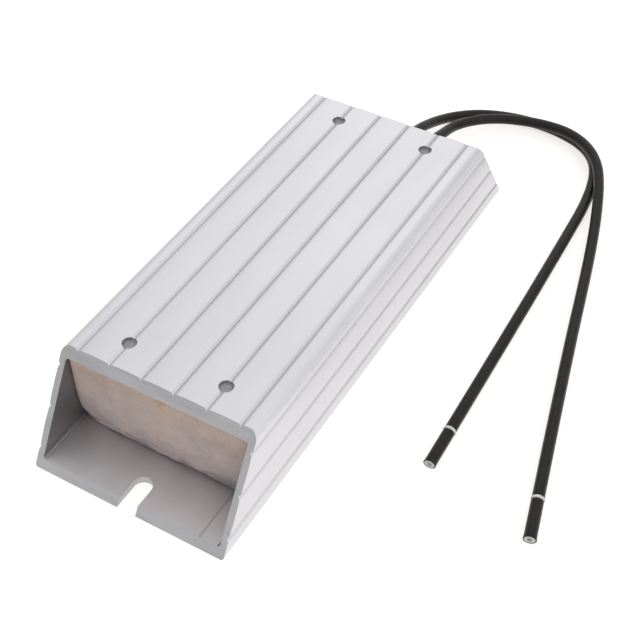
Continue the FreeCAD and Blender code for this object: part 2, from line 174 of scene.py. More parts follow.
def make_jacket(name, points):
    curve = bpy.data.curves.new(name, "CURVE")
    curve.dimensions = "3D"
    curve.resolution_u = 24
    curve.bevel_depth = JACKET / 2
    curve.bevel_resolution = 7
    curve.use_fill_caps = True
    spline = curve.splines.new("NURBS")
    spline.points.add(len(points) - 1)
    for place, point in zip(spline.points, points):
        place.co = (*point, 1.0)
    spline.order_u = 3
    spline.use_endpoint_u = True
    return put_in_scene(name, curve)


left_points = lead_points(-LEAD_SPREAD, LEFT_ROUTE)
right_points = lead_points(LEAD_SPREAD, RIGHT_ROUTE)
left_jacket = make_jacket("left_lead_jacket", left_points)
right_jacket = make_jacket("right_lead_jacket", right_points)
for jacket in (left_jacket, right_jacket):
    print(f"{jacket.name}: {jacket.data.splines[0].calc_length() / MM:.1f} mm of jacket")

# %% [markdown]
# Finishes
#
# A finish is a small tree of nodes. Each one starts from the Principled shader, whose own
# sockets hold what is the same all over. What changes over the surface comes from noise
# read in the object's own coordinates, so the pattern stays with the piece when it moves.
# First come the helpers that make a finish, add a node to it and wire it up.

# %% Helpers for nodes


def tone(red, green, blue):
    """A colour given as it looks on the screen, from 0 to 255, as the shader wants it."""
    parts = [part / 255 for part in (red, green, blue)]
    return (*[p / 12.92 if p <= 0.04045 else ((p + 0.055) / 1.055) ** 2.4 for p in parts], 1.0)


WHITE = tone(255, 255, 255)


def new_finish(name, colour, roughness, metallic=0.0, specular=0.5):
    finish = bpy.data.materials.new(name)
    finish.use_nodes = True
    shader = finish.node_tree.nodes["Principled BSDF"]
    shader.inputs["Base Color"].default_value = colour
    shader.inputs["Roughness"].default_value = roughness
    shader.inputs["Metallic"].default_value = metallic
    shader.inputs["Specular IOR Level"].default_value = specular
    return finish


def add_node(finish, kind, **settings):
    node = finish.node_tree.nodes.new(kind)
    for name, value in settings.items():
        setattr(node, name, value)
    return node


def wire(finish, source, target):
    finish.node_tree.links.new(source, target)


def feed(finish, value, target):
    """Wires an output to a socket, or sets the socket to a plain number."""
    if isinstance(value, bpy.types.NodeSocket):
        wire(finish, value, target)
    else:
        target.default_value = value


def drive(finish, name, source):
    """Feeds an output into a socket of the Principled shader."""
    wire(finish, source, finish.node_tree.nodes["Principled BSDF"].inputs[name])


print(f"white: {WHITE}")

# %% [markdown]
# Patterns
#
# Every finish here is made from a few patterns: a noise, a ramp that turns it into colours,
# and a bump that turns it into relief. A ruler is for what changes from one side of a piece
# to the other, such as dust at the foot of a wall.

# %% Helpers for patterns


def grain(finish, size, detail=2.0, stretch=(1.0, 1.0, 1.0), warp=0.0):
    """Noise whose blotches are about this size in metres, drawn out by a factor on each axis."""
    place = add_node(finish, "ShaderNodeTexCoord")
    mapping = add_node(finish, "ShaderNodeMapping")
    mapping.inputs["Scale"].default_value = [1 / (size * factor) for factor in stretch]
    texture = add_node(finish, "ShaderNodeTexNoise")
    texture.inputs["Scale"].default_value = 1.0
    texture.inputs["Detail"].default_value = detail
    texture.inputs["Distortion"].default_value = warp
    wire(finish, place.outputs["Object"], mapping.inputs["Vector"])
    wire(finish, mapping.outputs["Vector"], texture.inputs["Vector"])
    return texture.outputs["Fac"]


def ruler(finish, axis, low, high, space="Object"):
    """A factor that grows from 0 to 1 between two places on an axis."""
    place = add_node(finish, "ShaderNodeTexCoord")
    axes = add_node(finish, "ShaderNodeSeparateXYZ")
    reach = add_node(finish, "ShaderNodeMapRange")
    reach.inputs["From Min"].default_value = low
    reach.inputs["From Max"].default_value = high
    wire(finish, place.outputs[space], axes.inputs[0])
    wire(finish, axes.outputs[axis], reach.inputs["Value"])
    return reach.outputs["Result"]


def spread(finish, factor, low, high):
    """Stretches a noise, which mostly lies between 0.3 and 0.7, over a range."""
    node = add_node(finish, "ShaderNodeMapRange")
    node.inputs["From Min"].default_value = 0.3
    node.inputs["From Max"].default_value = 0.7
    node.inputs["To Min"].default_value = low
    node.inputs["To Max"].default_value = high
    wire(finish, factor, node.inputs["Value"])
    return node.outputs["Result"]


def ramp(finish, factor, stops):
    """Turns a factor into a colour through stops of (place, colour)."""
    node = add_node(finish, "ShaderNodeValToRGB")
    while len(node.color_ramp.elements) < len(stops):
        node.color_ramp.elements.new(0.5)
    for element, (place, colour) in zip(node.color_ramp.elements, stops):
        element.position = place
        element.color = colour
    wire(finish, factor, node.inputs["Fac"])
    return node.outputs["Color"]


def blended(finish, factor, first, second, how="MIX"):
    """Mixes two colours, by a number or by an output."""
    node = add_node(finish, "ShaderNodeMix", data_type="RGBA", blend_type=how)
    colours = [socket for socket in node.inputs if socket.type == "RGBA"]
    for socket, colour in zip(colours, (first, second)):
        wire(finish, colour, socket)
    feed(finish, factor, node.inputs["Factor"])
    return next(socket for socket in node.outputs if socket.type == "RGBA")


def multiplied(finish, first, second):
    """One colour darkened by another."""
    return blended(finish, 1.0, first, second, "MULTIPLY")


def relief(finish, heights):
    """Stacks bumps: each height is a factor with the depth in metres that it stands for."""
    normal = None
    for factor, depth in heights:
        bump = add_node(finish, "ShaderNodeBump")
        bump.inputs["Distance"].default_value = depth
        wire(finish, factor, bump.inputs["Height"])
        if normal is not None:
            wire(finish, normal, bump.inputs["Normal"])
        normal = bump.outputs["Normal"]
    drive(finish, "Normal", normal)


# %% [markdown]
# Anodised aluminium
#
# The profile is pressed through a die, which leaves faint lines along its length, and then
# anodised, which makes it satin. So the metal is rough enough to blur what it reflects, and a
# noise drawn out along Y gives it the die lines. The grooves get a copy of the metal a little
# darker, as painted shade. Inside, the metal is painted a shade darker as painted shade, most of
# all on the side walls, and one thin scratch runs along the floor. The sawn ends are the same
# metal with lines across, because a saw tears the surface.

# %% Aluminium finishes
SCRATCH_PLACE = 0.0219
SCRATCH_REACH = 0.0004
SCRATCH_GREY = tone(214, 213, 214)


def make_drawn_aluminium(name, dark, bright, rough, scratch=None):
    """Metal with faint lines along Y between two close shades, and one scratch if wanted."""
    finish = new_finish(name, bright, rough, metallic=1.0)
    lines = grain(finish, 0.00025, detail=3.0, stretch=(1.0, 160.0, 1.0))
    clouds = grain(finish, 0.012, detail=3.0, stretch=(1.0, 3.0, 1.0))
    metal = ramp(finish, clouds, [(0.35, dark), (0.65, bright)])
    drawn = ramp(finish, lines, [(0.3, tone(252, 252, 253)), (0.7, WHITE)])
    if scratch is not None:
        beside = ruler(finish, "X", scratch - SCRATCH_REACH, scratch + SCRATCH_REACH)
        scratched = ramp(finish, beside, [
            (0.0, WHITE), (0.45, SCRATCH_GREY), (0.55, SCRATCH_GREY), (1.0, WHITE)])
        drawn = multiplied(finish, drawn, scratched)
    drive(finish, "Base Color", multiplied(finish, metal, drawn))
    drive(finish, "Roughness", spread(finish, lines, rough - 0.01, rough + 0.01))
    relief(finish, [(lines, 0.0000008), (clouds, 0.00001)])
    return finish


def make_sawn_aluminium():
    finish = new_finish("sawn_aluminium", tone(190, 190, 193), 0.5, metallic=1.0)
    lines = grain(finish, 0.0002, detail=3.0, stretch=(60.0, 1.0, 1.0))
    clouds = grain(finish, 0.004, detail=2.0, stretch=(4.0, 1.0, 1.0))
    metal = ramp(finish, clouds, [(0.35, tone(187, 187, 190)), (0.65, tone(195, 195, 197))])
    torn = ramp(finish, lines, [(0.3, tone(234, 234, 235)), (0.7, WHITE)])
    drive(finish, "Base Color", multiplied(finish, metal, torn))
    drive(finish, "Roughness", spread(finish, lines, 0.44, 0.56))
    relief(finish, [(lines, 0.00001)])
    return finish


anodised_aluminium = make_drawn_aluminium(
    "anodised_aluminium", tone(219, 219, 222), tone(223, 223, 226), 0.42)
# Painted shade: the grooves get a darker copy of the metal.
groove_painted_shade_aluminium = make_drawn_aluminium(
    "groove_painted_shade_aluminium", tone(211, 211, 214), tone(216, 216, 219), 0.5)
# Painted shade: the cavity floor and its side walls get darker copies of the metal.
inner_painted_shade_aluminium = make_drawn_aluminium(
    "inner_painted_shade_aluminium", tone(199, 198, 199), tone(207, 205, 206), 0.46, scratch=SCRATCH_PLACE)
wall_painted_shade_aluminium = make_drawn_aluminium(
    "wall_painted_shade_aluminium", tone(150, 149, 151), tone(158, 157, 159), 0.45)
sawn_aluminium = make_sawn_aluminium()
print("finishes: aluminium outside, in the grooves, inside and sawn")

# %% [markdown]
# Cement, sand and mica
#
# The seals are a cast cement, pinkish grey, with soft blotches where it dried unevenly and fine
# grit in it. It is stained at its foot and has rusty spots near the top. Its colour is painted
# darker and greyer towards its foot, as painted shade, and warmer towards its top. Where it rose
# into the holes of the top wall it is smooth and grey.
#
# Sand and mica lie inside and show only when the housing is taken off, but they get
# finishes of their own all the same: grains for the sand, pale flakes for the mica.

# %% Mineral finishes


def make_cement():
    finish = new_finish("cement", tone(203, 189, 185), 0.9, specular=0.2)
    blotches = grain(finish, 0.007, detail=4.0, warp=0.4)
    spots = grain(finish, 0.0022, detail=3.0, warp=0.6)
    stains = grain(finish, 0.0035, detail=4.0, stretch=(1.6, 1.0, 1.0), warp=0.8)
    grit = grain(finish, 0.0004, detail=3.0)
    body = ramp(finish, blotches, [
        (0.36, tone(197, 184, 180)), (0.5, tone(205, 191, 186)), (0.66, tone(214, 196, 188))])
    # Painted shade: darker and greyer towards the foot; towards the top a warm tint.
    painted_foot_shade_and_warm_top = ramp(finish, ruler(finish, "Z", 0.0025, 0.027), [
        (0.0, tone(216, 217, 220)), (0.2, tone(240, 241, 243)), (0.5, tone(255, 254, 254)),
        (1.0, tone(255, 248, 240))])
    rusty = ramp(finish, spots, [(0.54, WHITE), (0.70, tone(250, 230, 210))])
    stained = ramp(finish, stains, [(0.44, WHITE), (0.6, tone(206, 205, 208))])
    gritty = ramp(finish, grit, [(0.3, tone(242, 241, 240)), (0.6, WHITE)])
    near_top = ruler(finish, "Z", 0.0205, 0.0265)
    near_foot = ruler(finish, "Z", 0.0110, 0.0040)
    shade = multiplied(finish, body, painted_foot_shade_and_warm_top)
    for where, mark in ((near_top, rusty), (near_foot, stained)):
        shade = blended(finish, where, shade, multiplied(finish, shade, mark))
    drive(finish, "Base Color", multiplied(finish, shade, gritty))
    relief(finish, [(grit, 0.00010), (blotches, 0.0002)])
    return finish


def make_smooth_cement(name, dark, bright):
    finish = new_finish(name, bright, 0.7, specular=0.3)
    cast = grain(finish, 0.0012, detail=3.0)
    drive(finish, "Base Color", ramp(finish, cast, [(0.35, dark), (0.65, bright)]))
    relief(finish, [(cast, 0.00005)])
    return finish


def make_sand():
    finish = new_finish("sand", tone(222, 208, 184), 0.95, specular=0.3)
    grains = grain(finish, 0.0006, detail=1.0)
    drive(finish, "Base Color", ramp(finish, grains, [
        (0.35, tone(176, 156, 126)), (0.5, tone(216, 200, 172)), (0.65, tone(240, 230, 210))]))
    relief(finish, [(grains, 0.0004)])
    return finish


def make_mica():
    finish = new_finish("mica", tone(206, 192, 152), 0.45, specular=0.6)
    flakes = grain(finish, 0.0025, detail=4.0, warp=1.5)
    drive(finish, "Base Color", ramp(finish, flakes, [
        (0.38, tone(176, 158, 118)), (0.5, tone(208, 194, 156)), (0.62, tone(228, 218, 186))]))
    drive(finish, "Roughness", spread(finish, flakes, 0.3, 0.55))
    relief(finish, [(flakes, 0.00003)])
    return finish


cement = make_cement()
smooth_cement = make_smooth_cement("smooth_cement", tone(152, 151, 156), tone(166, 165, 169))
# Painted shade: a darker cement for the rim of each plug, where the wall of the hole shades it.
painted_rim_shade_cement = make_smooth_cement("painted_rim_shade_cement", tone(136, 135, 139), tone(150, 149, 153))
sand = make_sand()
mica = make_mica()
print("finishes: cement, sand and mica")

# %% [markdown]
# Ribbon, terminals and wire
#
# The resistance ribbon is rolled nickel chromium, grey and slightly warm from its first
# heating. The terminals are crimped brass. The wire is tinned copper, and its inner
# insulation is a milky white sleeve under a soft black jacket.

# %% Metal and rubber finishes


def make_ribbon():
    finish = new_finish("resistance_ribbon", tone(160, 154, 148), 0.35, metallic=1.0)
    scale = grain(finish, 0.003, detail=3.0)
    drive(finish, "Base Color", ramp(finish, scale, [
        (0.35, tone(140, 130, 122)), (0.65, tone(176, 172, 168))]))
    drive(finish, "Roughness", spread(finish, scale, 0.28, 0.42))
    return finish


def make_terminal_brass():
    finish = new_finish("terminal_brass", tone(214, 184, 120), 0.32, metallic=1.0)
    handling = grain(finish, 0.002, detail=3.0)
    drive(finish, "Base Color", ramp(finish, handling, [
        (0.35, tone(196, 164, 100)), (0.65, tone(222, 194, 132))]))
    drive(finish, "Roughness", spread(finish, handling, 0.25, 0.4))
    return finish


def make_tinned_copper():
    finish = new_finish("tinned_copper", tone(172, 170, 166), 0.4, metallic=1.0)
    wear = grain(finish, 0.0005, detail=2.0)
    drive(finish, "Base Color", ramp(finish, wear, [
        (0.35, tone(140, 136, 130)), (0.65, tone(190, 188, 184))]))
    return finish


def make_black_jacket():
    finish = new_finish("black_jacket", tone(20, 17, 16), 0.4, specular=0.3)
    rub = grain(finish, 0.004, detail=4.0)
    skin = grain(finish, 0.0005, detail=2.0)
    drive(finish, "Base Color", ramp(finish, rub, [
        (0.35, tone(14, 11, 10)), (0.7, tone(30, 26, 25))]))
    drive(finish, "Roughness", spread(finish, rub, 0.3, 0.5))
    relief(finish, [(skin, 0.00002), (rub, 0.00012)])
    return finish


def make_milky_insulation():
    finish = new_finish("milky_insulation", tone(226, 225, 218), 0.55)
    milk = grain(finish, 0.0012, detail=2.0)
    drive(finish, "Base Color", ramp(finish, milk, [
        (0.3, tone(204, 203, 196)), (0.7, tone(234, 233, 228))]))
    return finish


resistance_ribbon = make_ribbon()
terminal_brass = make_terminal_brass()
tinned_copper = make_tinned_copper()
black_jacket = make_black_jacket()
milky_insulation = make_milky_insulation()
print("finishes: ribbon, brass, tinned copper, jacket and insulation")

# %% [markdown]
# From a bmesh to a piece
#
# Every new piece ends the same way. Its bmesh becomes a mesh, its faces are smooth except
# where they meet at a sharp angle, and it rides on the one body that this part has. A
# weighted normal modifier keeps wide flat faces flat beside small rounded edges.
#
# Two shapes come up again and again: an outline spun round an axis, and a plain rod. Where
# two surfaces would touch, a hair's breadth keeps them apart.

# %% Helpers for pieces
SHARP_ANGLE = math.radians(36)
HAIR = 0.00001


def mark_sharp(edges, angle):
    """Keeps the shading of two faces apart where they meet at more than an angle."""
    for edge in edges:
        if len(edge.link_faces) == 2 and edge.calc_face_angle() > angle:
            edge.smooth = False


def finish_piece(name, shape, finishes, flat_faces=False):
    mark_sharp(shape.edges, SHARP_ANGLE)
    mesh = mesh_of(name, shape)
    for finish in finishes:
        mesh.materials.append(finish)
    mesh.shade_smooth()
    piece = put_in_scene(name, mesh)
    if flat_faces:
        normals = piece.modifiers.new("flat faces", "WEIGHTED_NORMAL")
        normals.keep_sharp = True
    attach(piece, "root")
    return piece


def turned(profile, steps=48):
    """Spins a closed outline of (radius, height) pairs round the Z axis."""
    shape = bmesh.new()
    corners = [shape.verts.new((radius, 0, height)) for radius, height in profile]
    edges = [shape.edges.new(pair) for pair in zip(corners, corners[1:] + corners[:1])]
    bmesh.ops.spin(shape, geom=corners + edges, cent=(0, 0, 0), axis=(0, 0, 1),
                   angle=math.tau, steps=steps, use_merge=True)
    bmesh.ops.remove_doubles(shape, verts=shape.verts, dist=TOUCHING)
    bmesh.ops.dissolve_degenerate(shape, edges=shape.edges, dist=SAME)
    bmesh.ops.recalc_face_normals(shape, faces=shape.faces)
    return shape


def add_rod(shape, foot, length, diameter, segments=40):
    """Stands a rod on a point and gives back its vertices."""
    middle = Vector(foot) + Vector((0, 0, length / 2))
    rod = bmesh.ops.create_cone(
        shape, cap_ends=True, segments=segments, radius1=diameter / 2, radius2=diameter / 2,
        depth=length, matrix=Matrix.Translation(middle))
    return rod["verts"]


def lay_along(shape, start, heading):
    """Turns a shape that was made along Z into a heading, with its Y side up, and moves it."""
    turn = heading.to_track_quat("Z", "Y").to_matrix().to_4x4()
    bmesh.ops.transform(shape, matrix=Matrix.Translation(start) @ turn, verts=shape.verts)


# %% [markdown]
# The lead tips
#
# Near its end each lead has its jacket cut round and pushed along by less than a
# millimetre, so a ring of milky insulation shows and bulges out between the two edges. Side
# cutters squeezed the very end: it is a little wide and a little low there, the insulation
# closes in on the wire, and the strands stand just proud.
#
# The insulation and the short sleeve are outlines spun round an axis, and then pinched. The
# wire is a bundle of small rods: one in the middle, six round it and twelve round those.

# %% Sizes of the tips
INSULATION = 0.0029
CONDUCTOR = 0.0015
SLEEVE_GAP = 0.0009
SLEEVE_LENGTH = 0.0124
TIP_LENGTH = SLEEVE_GAP + SLEEVE_LENGTH
INSIDE_JACKET = 0.0020
RING_BULGE = 0.00015
SOFT_EDGE = 0.0002
CUT_EDGE = 0.0001
FRAY_DEPTH = 0.00012
FRAY_GRAIN = 900
PINCH_LENGTH = 0.0016
PINCH_BEND = 0.0006
PINCH_WIDER = 0.07
PINCH_LOWER = 0.09
WIRE_MOUTH = 0.0012
MOUTH_DEPTH = 0.0008
STRAND = 0.00022
STRAND_LENGTH = 0.0012
STRAND_PROUD = 0.00012
STRAND_GRAIN = 4000
STRAND_EDGE = 0.00004
STRAND_RINGS = [(0, 1), (0.00023, 6), (0.00045, 12)]
RING_TWIST = 900
CRIMP_LENGTH = 0.0065
print(f"tips: {TIP_LENGTH / MM:.1f} mm, {sum(count for _, count in STRAND_RINGS)} strands")

# %% Make the tips


def pinch(shape):
    """Squeezes the last stretch before the tip, from above and below."""
    for vert in shape.verts:
        share = max(0.0, min(1.0, (vert.co.z - TIP_LENGTH + PINCH_LENGTH) / PINCH_LENGTH))
        vert.co.x *= 1 + PINCH_WIDER * share ** 2
        vert.co.y *= 1 - PINCH_LOWER * share ** 2


def fray(shape, height):
    """Makes a knife's cut at this height slightly uneven."""
    for vert in shape.verts:
        if abs(vert.co.z - height) < 2 * FRAY_DEPTH:
            around = Vector((vert.co.x, vert.co.y, 0)) * FRAY_GRAIN
            vert.co.z += FRAY_DEPTH * noise.noise(around)


def make_insulation_end(name, cut, heading):
    """The milky insulation from inside the jacket to the tip, hollow where the wire is."""
    ring = JACKET / 2 + RING_BULGE
    body = INSULATION / 2
    mouth = WIRE_MOUTH / 2
    shape = turned([
        (0.0, -INSIDE_JACKET), (body, -INSIDE_JACKET), (body, 0.0), (ring - SOFT_EDGE, CUT_EDGE),
        (ring, CUT_EDGE + SOFT_EDGE), (ring, SLEEVE_GAP - CUT_EDGE - SOFT_EDGE),
        (ring - SOFT_EDGE, SLEEVE_GAP - CUT_EDGE), (body, SLEEVE_GAP),
        (body, TIP_LENGTH - CUT_EDGE), (body - CUT_EDGE, TIP_LENGTH),
        (mouth + CUT_EDGE, TIP_LENGTH), (mouth, TIP_LENGTH - CUT_EDGE),
        (mouth, TIP_LENGTH - MOUTH_DEPTH), (0.0, TIP_LENGTH - MOUTH_DEPTH)])
    for vert in shape.verts:
        vert.co.y = max(vert.co.y, HAIR - JACKET / 2)
    pinch(shape)
    lay_along(shape, cut, heading)
    return finish_piece(name, shape, [milky_insulation])


def make_end_sleeve(name, node, cut, heading):
    """The short length of jacket that stays on the tip."""
    outside = JACKET / 2
    inside = INSULATION / 2 + 2 * HAIR
    shape = turned([
        (inside, SLEEVE_GAP), (outside - SOFT_EDGE, SLEEVE_GAP),
        (outside, SLEEVE_GAP + SOFT_EDGE), (outside, TIP_LENGTH - PINCH_LENGTH),
        (outside, TIP_LENGTH - PINCH_BEND), (outside, TIP_LENGTH - CUT_EDGE),
        (outside - CUT_EDGE, TIP_LENGTH), (inside, TIP_LENGTH),
        (inside, TIP_LENGTH - PINCH_LENGTH)])
    fray(shape, SLEEVE_GAP)
    pinch(shape)
    lay_along(shape, cut, heading)
    sleeve = finish_piece(name, shape, [black_jacket])
    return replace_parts(sleeve, node)


def make_strands(name, cut, heading):
    """The ends of the wire's strands, each cut at its own height."""
    shape = bmesh.new()
    for radius, count in STRAND_RINGS:
        for number in range(count):
            angle = math.tau * number / count + radius * RING_TWIST
            place = Vector((radius * math.cos(angle), radius * math.sin(angle), 0))
            proud = STRAND_PROUD + STRAND_PROUD * noise.noise(place * STRAND_GRAIN)
            foot = place + Vector((0, 0, TIP_LENGTH - STRAND_LENGTH))
            strand = add_rod(shape, foot, STRAND_LENGTH + proud, STRAND, segments=12)
            rim = {edge for vert in strand for edge in vert.link_edges
                   if all(v.co.z > foot.z + STRAND_LENGTH / 2 for v in edge.verts)}
            bmesh.ops.bevel(shape, geom=list(rim), offset=STRAND_EDGE, segments=2, profile=0.5,
                            affect="EDGES", material=-1)
    pinch(shape)
    lay_along(shape, cut, heading)
    return finish_piece(name, shape, [tinned_copper])


def make_inner_end(name, across):
    """The wire inside the housing: insulated in the cement, bare in its terminal."""
    wire_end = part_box("left_terminal")[1].y - CRIMP_LENGTH
    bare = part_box("rear_seal")[0].y - wire_end
    whole = seal_face - SEATED - wire_end
    shape = turned([
        (0.0, 0.0), (CONDUCTOR / 2, 0.0), (CONDUCTOR / 2, bare), (INSULATION / 2, bare),
        (INSULATION / 2, whole), (0.0, whole)])
    lay_along(shape, Vector((across, wire_end, LEAD_HEIGHT)), Vector((0, 1, 0)))
    return finish_piece(name, shape, [milky_insulation])


# %% [markdown]
# Dressing a lead
#
# The small pieces go on the end of each jacket, in the direction of its last stretch. The jacket
# then takes the place of the construction model's lead, and the lead's length and the place of its
# tip are printed.

# %% Dress the leads


def dress_lead(side, jacket, points, across, length):
    """Puts the small pieces on a lead and prints its length and the place of its tip."""
    heading = (points[-1] - points[-2]).normalized()
    cut = points[-1]
    on_lead = [
        make_insulation_end(f"{side}_lead_insulation", cut, heading),
        make_end_sleeve(f"{side}_lead_sleeve", f"{side}_lead_end_sleeve", cut, heading),
        make_strands(f"{side}_lead_strands", cut, heading),
        make_inner_end(f"{side}_lead_inner_end", across),
    ]
    jacket.data.materials.append(black_jacket)
    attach(jacket, "root")
    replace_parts(jacket, f"{side}_lead")
    print(f"{side} lead: {length / MM:.0f} mm, tip at {in_mm(cut + heading * TIP_LENGTH)}")


dress_lead("left", left_jacket, left_points, -LEAD_SPREAD, 0.245)
dress_lead("right", right_jacket, right_points, LEAD_SPREAD, 0.247)

# %% [markdown]
# The housing
#
# The profile is drawn through a die and sawn to length, and the script follows that order.
# Two open tunnels, one in the other, stand for the outside and the cavity. Their long edges
# are rounded by a bevel. Lengthways cuts are made in the flat walls, and the new vertices
# are pressed in to form the V grooves, with the panels between them very slightly crowned.
# A plane cuts each end on its slant, the open rims are filled, and cutting shapes take out
# the slots and the holes. Last, a small bevel breaks every sharp rim, as a file would.

# %% Sizes of the profile
HALF_WIDTH, HALF_LENGTH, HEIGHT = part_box("housing")[1]
SIDE_WALL = 0.0020
BASE_WALL = 0.0025
TOP_WALL = 0.0030
TOP_CORNER = 0.0025
BASE_CORNER = 0.0008
CAVITY_CORNER = 0.0008
END_SETBACK = 0.0195
GROOVE_PITCH = 0.0100
GROOVE_MOUTH = 0.0017
GROOVE_THROAT = 0.0006
GROOVE_BEVEL = 0.0002
GROOVE_DEPTH = 0.00065
PANEL_CROWN = 0.00012
TOP_GROOVES = [(number - 2.5) * GROOVE_PITCH for number in range(6)]
FLANK_GROOVES = [0.005 + number * GROOVE_PITCH for number in range(3)]
SLOT_WIDTH = 0.0058
SLOT_PLACE = 0.0750
HOLE = 0.0040
HOLE_ACROSS = 0.0150
HOLE_ALONG = 0.0545
HOLES = [(x, y) for x in (-HOLE_ACROSS, HOLE_ACROSS) for y in (-HOLE_ALONG, HOLE_ALONG)]
RIM_BREAK = 0.00010
print(f"profile: {2 * HALF_LENGTH / MM:.0f} x {2 * HALF_WIDTH / MM:.0f} x {HEIGHT / MM:.0f} mm")

# %% [markdown]
# Tunnels, grooves and crowns
#
# A groove is five lines along the wall: its bottom, two where its steep walls begin and two
# where its shallow bevel meets the panel. More lines between the grooves carry the crown.
# A wall is named by the axis that runs across its grooves and the axis that it faces.

# %% Press the grooves
ACROSS, UP = 0, 2
GROOVE_LINES = (0, GROOVE_THROAT / 2, -GROOVE_THROAT / 2, GROOVE_MOUTH / 2, -GROOVE_MOUTH / 2)
CROWN_LINES = (0.0022, 0.0036, 0.0050, -0.0036, -0.0022)
TOP_CORNER_STEPS = 14
BASE_CORNER_STEPS = 5
FACING = 0.7


def add_tunnel(shape, half_width, low, high, top_radius, base_radius):
    """A box without ends whose long edges are rounded."""
    size = Matrix.Diagonal((2 * half_width, 2 * HALF_LENGTH, high - low, 1.0))
    place = Matrix.Translation((0, 0, (low + high) / 2))
    made = bmesh.ops.create_cube(shape, size=1.0, matrix=place @ size)
    long_edges = [e for e in {e for v in made["verts"] for e in v.link_edges}
                  if abs(e.verts[0].co.y - e.verts[1].co.y) > HALF_LENGTH]
    for at, radius, steps in ((high, top_radius, TOP_CORNER_STEPS),
                              (low, base_radius, BASE_CORNER_STEPS)):
        edges = [e for e in long_edges if e.is_valid and abs(e.verts[0].co.z - at) < NEAR]
        bmesh.ops.bevel(shape, geom=edges, offset=radius, segments=steps, profile=0.5,
                        affect="EDGES", material=-1)
    ends = [f for f in shape.faces if abs(f.normal.y) > FACING]
    bmesh.ops.delete(shape, geom=ends, context="FACES")


def groove_drop(place, grooves):
    """How far the surface lies below the flat wall at this place across it."""
    from_groove = min(abs(place - groove) for groove in grooves)
    lip = GROOVE_MOUTH / 2
    half_panel = GROOVE_PITCH / 2 - lip
    crown = PANEL_CROWN * ((GROOVE_PITCH / 2 - max(from_groove, lip)) / half_panel) ** 2
    drop = crown if grooves[0] < place < grooves[-1] else 0.0
    if from_groove < 10 * NEAR:
        return drop + GROOVE_DEPTH
    if from_groove < GROOVE_THROAT / 2 + 10 * NEAR:
        return drop + GROOVE_BEVEL
    return drop


def press_grooves(shape, axis, wall_axis, wall, grooves):
    """Cuts lengthways lines in one flat wall and presses its vertices in."""
    places = [groove + line for groove in grooves for line in GROOVE_LINES]
    places += [groove + line for groove in grooves for line in CROWN_LINES
               if grooves[0] < groove + line < grooves[-1]]
    normal = Vector([1.0 if index == axis else 0.0 for index in range(3)])
    outwards = math.copysign(1.0, wall)

    def on_wall(vert):
        return abs(vert.co[wall_axis] - wall) < TOUCHING

    for place in places:
        faces = [f for f in shape.faces if all(on_wall(v) for v in f.verts)]
        edges = list({e for f in faces for e in f.edges})
        verts = list({v for f in faces for v in f.verts})
        bmesh.ops.bisect_plane(shape, geom=faces + edges + verts, dist=TOUCHING,
                               plane_co=normal * place, plane_no=normal)
    for vert in [v for v in shape.verts if on_wall(v)]:
        vert.co[wall_axis] -= outwards * groove_drop(vert.co[axis], grooves)


def make_profile():
    shape = bmesh.new()
    add_tunnel(shape, HALF_WIDTH, 0.0, HEIGHT, TOP_CORNER, BASE_CORNER)
    press_grooves(shape, ACROSS, UP, HEIGHT, TOP_GROOVES)
    press_grooves(shape, UP, ACROSS, HALF_WIDTH, FLANK_GROOVES)
    press_grooves(shape, UP, ACROSS, -HALF_WIDTH, FLANK_GROOVES)
    add_tunnel(shape, HALF_WIDTH - SIDE_WALL, BASE_WALL, HEIGHT - TOP_WALL, CAVITY_CORNER,
               CAVITY_CORNER)
    return shape


profile = make_profile()
print(f"profile: {len(profile.faces)} strips round the section")

# %% [markdown]
# The sawn ends
#
# A plane leans back from the tip of the base to the top edge. What lies beyond it is
# dropped, and the open rim between outside and cavity is filled with triangles. A narrow
# band is set in from that rim, so that its edges shade evenly.

# %% Saw the ends and fill their rims
RIM_BAND = 0.00025


def end_normal(end):
    """The outward direction of a sawn end: end is 1 at the rear and -1 at the front."""
    return Vector((0, end * HEIGHT, END_SETBACK)).normalized()


def saw_end(shape, end):
    tip = Vector((0, end * HALF_LENGTH, 0))
    normal = end_normal(end)
    bmesh.ops.bisect_plane(shape, geom=shape.verts[:] + shape.edges[:] + shape.faces[:],
                           dist=SAME, plane_co=tip, plane_no=normal, clear_outer=True)
    rim = [e for e in shape.edges if e.is_boundary
           and all(abs((v.co - tip).dot(normal)) < NEAR for v in e.verts)]
    filled = bmesh.ops.triangle_fill(shape, edges=rim, use_beauty=True, normal=normal)
    faces = [item for item in filled["geom"] if isinstance(item, bmesh.types.BMFace)]
    bmesh.ops.inset_region(shape, faces=faces, thickness=RIM_BAND, use_even_offset=True)
    return len(rim)


for end in (1, -1):
    print(f"sawn end {end}: {saw_end(profile, end)} edges round its rim")
bmesh.ops.recalc_face_normals(profile, faces=profile.faces)

# %% [markdown]
# Slots and holes
#
# A slot and a hole are what a cutter takes away, so they are made as the cutter's own
# shape: a rod for each hole, and for each slot an upright prism that is half round inside
# and runs out past the end. All of them go into one object, and one Boolean modifier
# subtracts it. The result is read back as a plain mesh and the cutter is thrown away.

# %% Cut the slots and holes
CUTTER_REACH = 0.004
ARC_STEPS = 20


